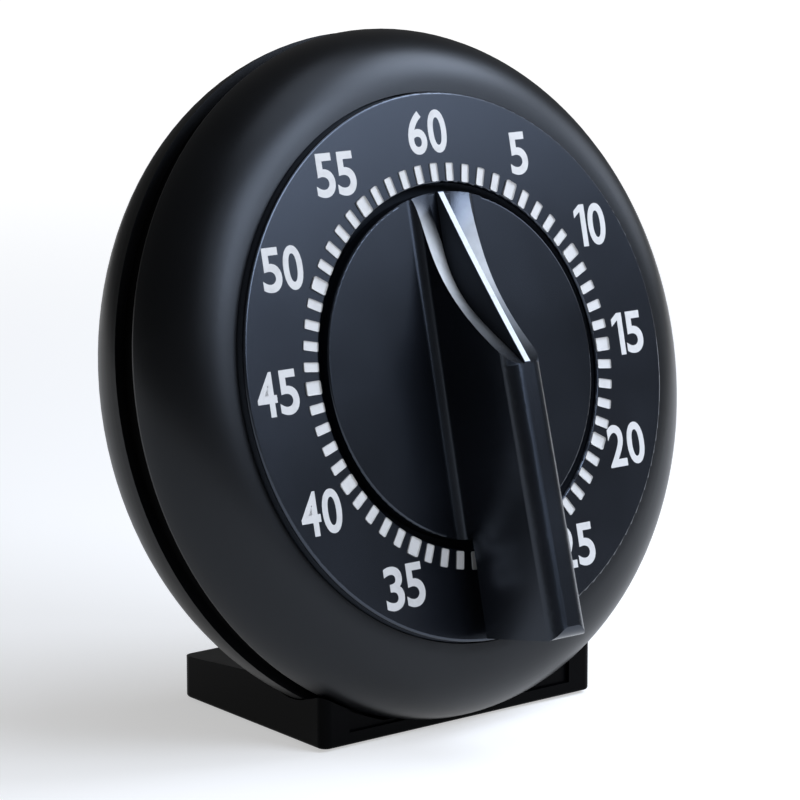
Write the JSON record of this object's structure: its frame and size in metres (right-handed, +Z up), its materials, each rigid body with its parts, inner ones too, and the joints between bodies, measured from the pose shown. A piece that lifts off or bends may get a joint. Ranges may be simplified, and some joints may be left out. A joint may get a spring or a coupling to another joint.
{
  "type": "mechanical kitchen timer",
  "caption": "Round clockwork countdown timer on a tapered foot, with a leaning numbered dial, a bladed winding knob, a gear train and a bell.",
  "frame": {"origin": "middle of the foot's underside, on the surface that the timer stands on", "axes": "+Z up, the dial faces -Y and leans back, +X to the dial's right as it is read"},
  "size_m": [0.087, 0.0525, 0.0857],
  "materials": {
    "case_plastic": "satin moulded plastic",
    "band_plastic": "matt",
    "foot_plastic": "half gloss",
    "dial_plastic": "satin, printed",
    "knob_plastic": "satin moulded plastic",
    "rubber": "matt",
    "screw_steel": "zinc plated",
    "plate_steel": "stamped",
    "turned_steel": "turned",
    "spring_steel": "blued",
    "wheel_brass": "stamped",
    "bell_steel": "nickel plated"
  },
  "bodies": {
    "case": {"front_shell": "case_plastic", "waist_ring": "band_plastic", "rear_cover": "case_plastic", "foot": "foot_plastic", "rubber_sole": "rubber", "case_screws": "screw_steel", "foot_screws": "screw_steel", "dial_plate": "dial_plastic", "dial_screws": "screw_steel", "movement_front_plate": "plate_steel", "movement_back_plate": "plate_steel", "plate_pillars": "turned_steel", "back_plate_screws": "screw_steel", "movement_screws": "screw_steel", "mainspring": "spring_steel", "spring_post": "turned_steel", "bell_post": "turned_steel", "bell": "bell_steel", "bell_screw": "screw_steel", "hammer_stud": "turned_steel", "hammer_spring": "spring_steel"},
    "knob": {"knob": "knob_plastic", "main_arbor": "turned_steel", "ratchet_wheel": "turned_steel", "click": "turned_steel", "main_wheel": "wheel_brass", "strike_cam": "turned_steel"},
    "second": {"second_pinion": "turned_steel", "second_wheel": "wheel_brass"},
    "third": {"third_pinion": "turned_steel", "third_wheel": "wheel_brass"},
    "escape": {"escape_pinion": "turned_steel", "escape_wheel": "wheel_brass"},
    "pallet": {"pallet_arbor": "turned_steel", "pallet_lever": "wheel_brass"},
    "hammer": {"hammer": "turned_steel"}
  },
  "joints": [
    {"name": "knob_turn", "type": "hinge", "parent": "case", "child": "knob", "pos_m": [0, -0.01615, 0.0454], "axis": [0, 0.9756, -0.2195], "range_deg": [0, 360]},
    {"name": "second_spin", "type": "hinge", "parent": "case", "child": "second", "pos_m": [-0.0025, -0.00133, 0.0566], "axis": [0, 0.9756, -0.2195], "range_deg": [-2880, 0]},
    {"name": "third_spin", "type": "hinge", "parent": "case", "child": "third", "pos_m": [0.00678, -0.00038, 0.06082], "axis": [0, 0.9756, -0.2195], "range_deg": [0, 20160]},
    {"name": "escape_spin", "type": "hinge", "parent": "case", "child": "escape", "pos_m": [0.01405, -0.0013, 0.05673], "axis": [0, 0.9756, -0.2195], "range_deg": [-120960, 0]},
    {"name": "pallet_rock", "type": "hinge", "parent": "case", "child": "pallet", "pos_m": [0.01894, -0.00258, 0.05105], "axis": [0, 0.9756, -0.2195], "range_deg": [-4, 4]},
    {"name": "hammer_swing", "type": "hinge", "parent": "case", "child": "hammer", "pos_m": [0.01301, 0.00171, 0.04052], "axis": [0, 0.9756, -0.2195], "range_deg": [-5, 1.5], "stiffness_Nm_per_rad": 0.0004}
  ],
  "couplings": [
    {"joint": "second_spin", "follows": "knob_turn", "ratio": -8},
    {"joint": "third_spin", "follows": "knob_turn", "ratio": 56},
    {"joint": "escape_spin", "follows": "knob_turn", "ratio": -336}
  ]
}
